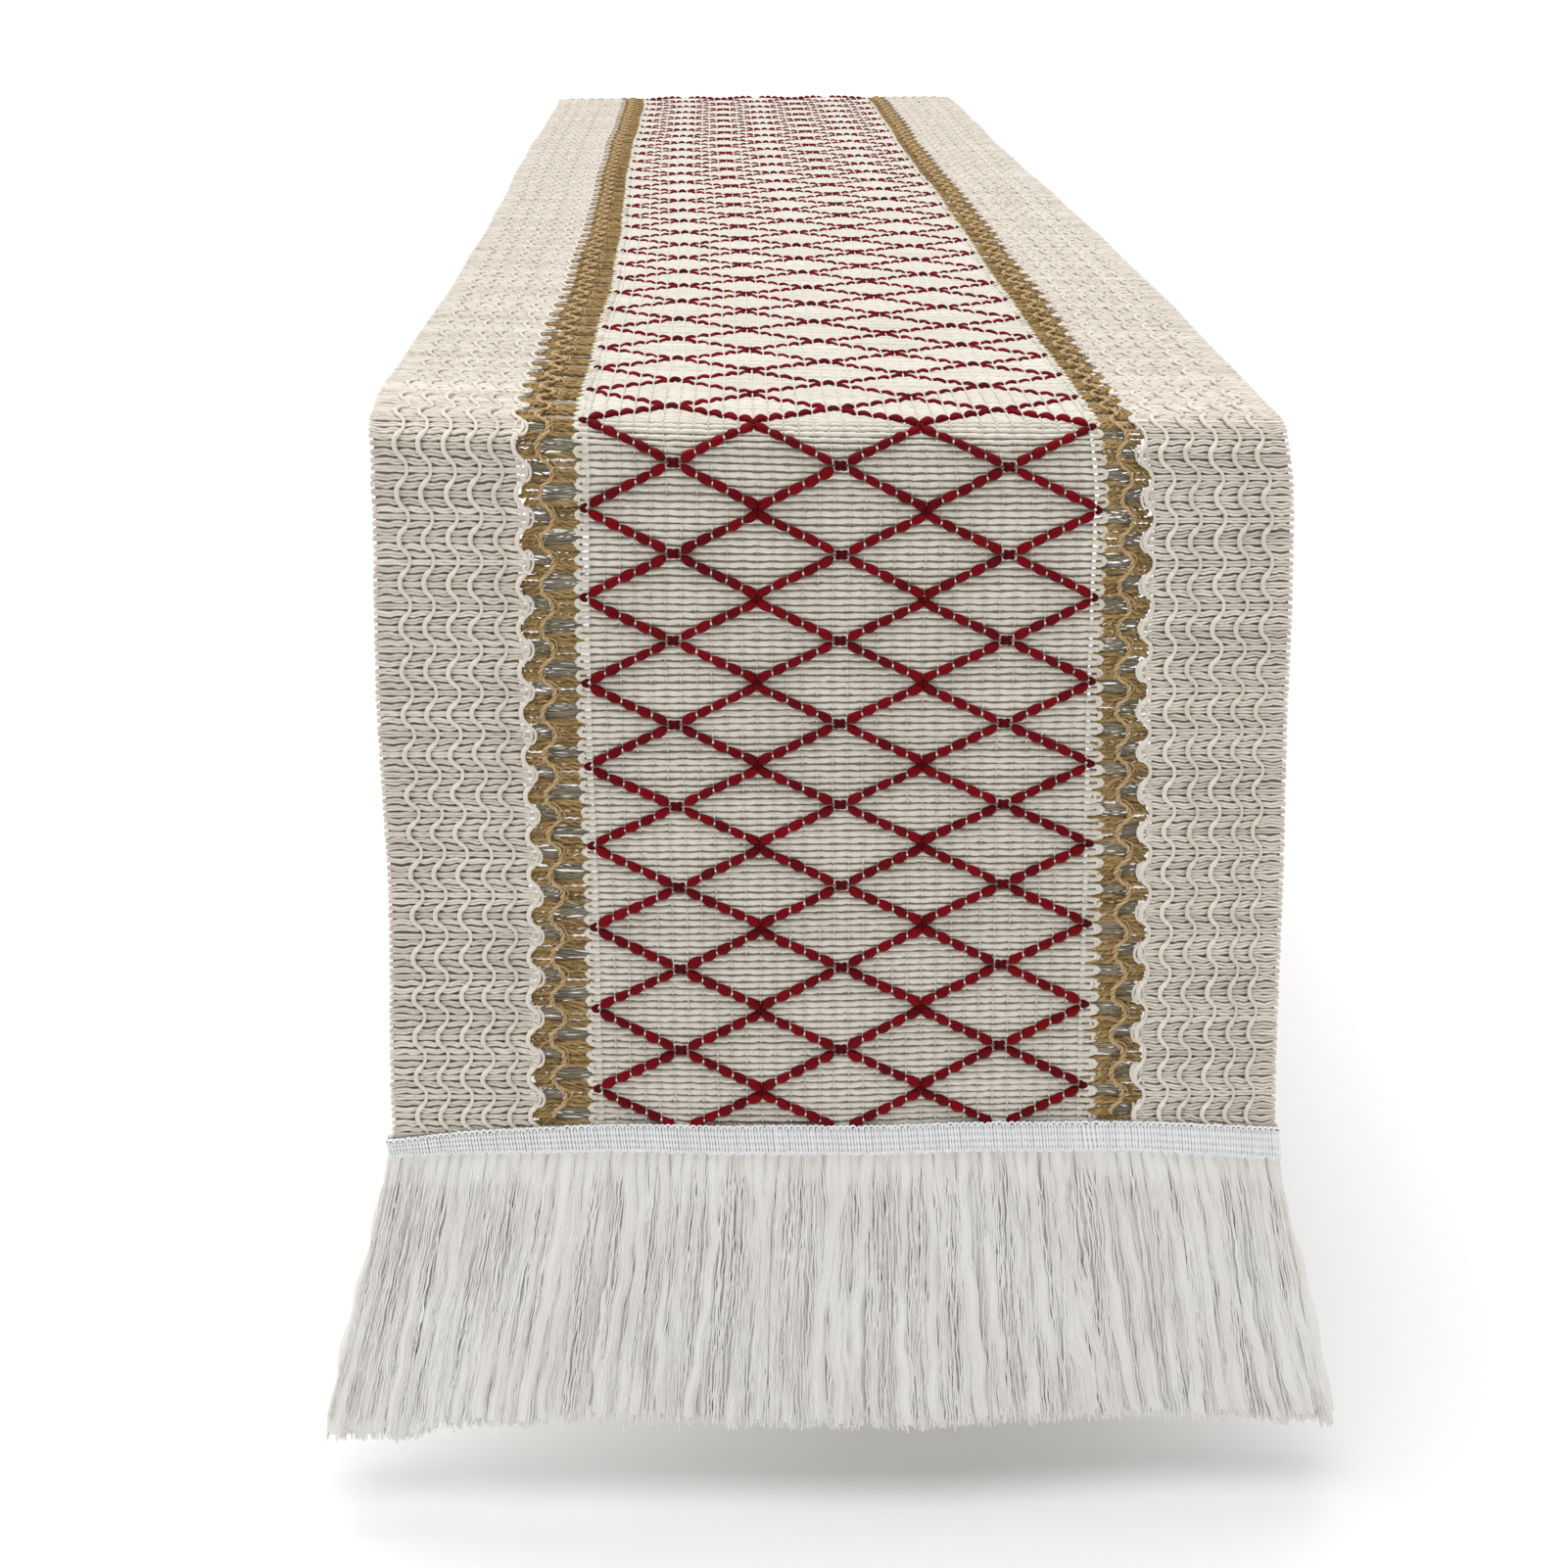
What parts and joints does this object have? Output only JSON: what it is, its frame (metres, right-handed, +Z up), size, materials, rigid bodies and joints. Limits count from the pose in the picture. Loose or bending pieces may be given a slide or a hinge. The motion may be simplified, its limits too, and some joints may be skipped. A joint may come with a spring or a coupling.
{
  "type": "table runner",
  "caption": "Long knitted cotton and jute table runner with a red diamond lattice, wavy raised side chains and a fringe at each end, draped over both table edges.",
  "frame": {"origin": "middle of the underside of the flat run, on the table plane", "axes": "+X to the right across the cloth, +Y along the cloth to the rear end, +Z up from the table"},
  "size_m": [0.3658, 0.9006, 0.3763],
  "materials": {
    "ribbed_cotton": "ribbed undyed cotton, matt",
    "side_cotton": "open cotton knit, matt",
    "chain_cotton": "plump cotton chain, matt",
    "jute": "hairy jute yarn, matt",
    "red_cord": "dark red mercerised cord, soft sheen",
    "white_tape": "white ribbed header tape",
    "white_thread": "white sewing thread",
    "fringe_cotton": "soft off-white cut yarn"
  },
  "bodies": {
    "tabletop_run": {"top_side_band_left": "side_cotton", "top_jute_band_left": "jute", "top_centre_panel": "ribbed_cotton", "top_jute_band_right": "jute", "top_side_band_right": "side_cotton", "top_diamond_cords": "red_cord", "top_side_chains_left": "chain_cotton", "top_side_chains_right": "chain_cotton", "top_jute_chains": "jute", "front_edge_fold": "ribbed_cotton", "rear_edge_fold": "ribbed_cotton"},
    "front_drop": {"front_drop_side_band_left": "side_cotton", "front_drop_jute_band_left": "jute", "front_drop_centre_panel": "ribbed_cotton", "front_drop_jute_band_right": "jute", "front_drop_side_band_right": "side_cotton", "front_drop_diamond_cords": "red_cord", "front_drop_side_chains_left": "chain_cotton", "front_drop_side_chains_right": "chain_cotton", "front_drop_jute_chains": "jute", "front_header_tape": "white_tape", "front_header_stitching": "white_thread"},
    "front_fringe": {"front_fringe_left": "fringe_cotton", "front_fringe_middle": "fringe_cotton", "front_fringe_right": "fringe_cotton"},
    "rear_drop": {"rear_drop_side_band_left": "side_cotton", "rear_drop_jute_band_left": "jute", "rear_drop_centre_panel": "ribbed_cotton", "rear_drop_jute_band_right": "jute", "rear_drop_side_band_right": "side_cotton", "rear_drop_diamond_cords": "red_cord", "rear_drop_side_chains_left": "chain_cotton", "rear_drop_side_chains_right": "chain_cotton", "rear_drop_jute_chains": "jute", "rear_header_tape": "white_tape", "rear_header_stitching": "white_thread"},
    "rear_fringe": {"rear_fringe_left": "fringe_cotton", "rear_fringe_middle": "fringe_cotton", "rear_fringe_right": "fringe_cotton"}
  },
  "joints": [
    {"name": "front_fold", "type": "hinge", "parent": "tabletop_run", "child": "front_drop", "pos_m": [0, -0.42916, -0.00411], "axis": [-1, 0, 0], "range_deg": [0, 90]},
    {"name": "front_fringe_swing", "type": "hinge", "parent": "front_drop", "child": "front_fringe", "pos_m": [0, -0.44783, -0.25424], "axis": [-1, 0, 0], "range_deg": [-60, 60]},
    {"name": "rear_fold", "type": "hinge", "parent": "tabletop_run", "child": "rear_drop", "pos_m": [0, 0.42916, -0.00411], "axis": [1, 0, 0], "range_deg": [0, 90]},
    {"name": "rear_fringe_swing", "type": "hinge", "parent": "rear_drop", "child": "rear_fringe", "pos_m": [0, 0.44783, -0.25424], "axis": [1, 0, 0], "range_deg": [-60, 60]}
  ]
}
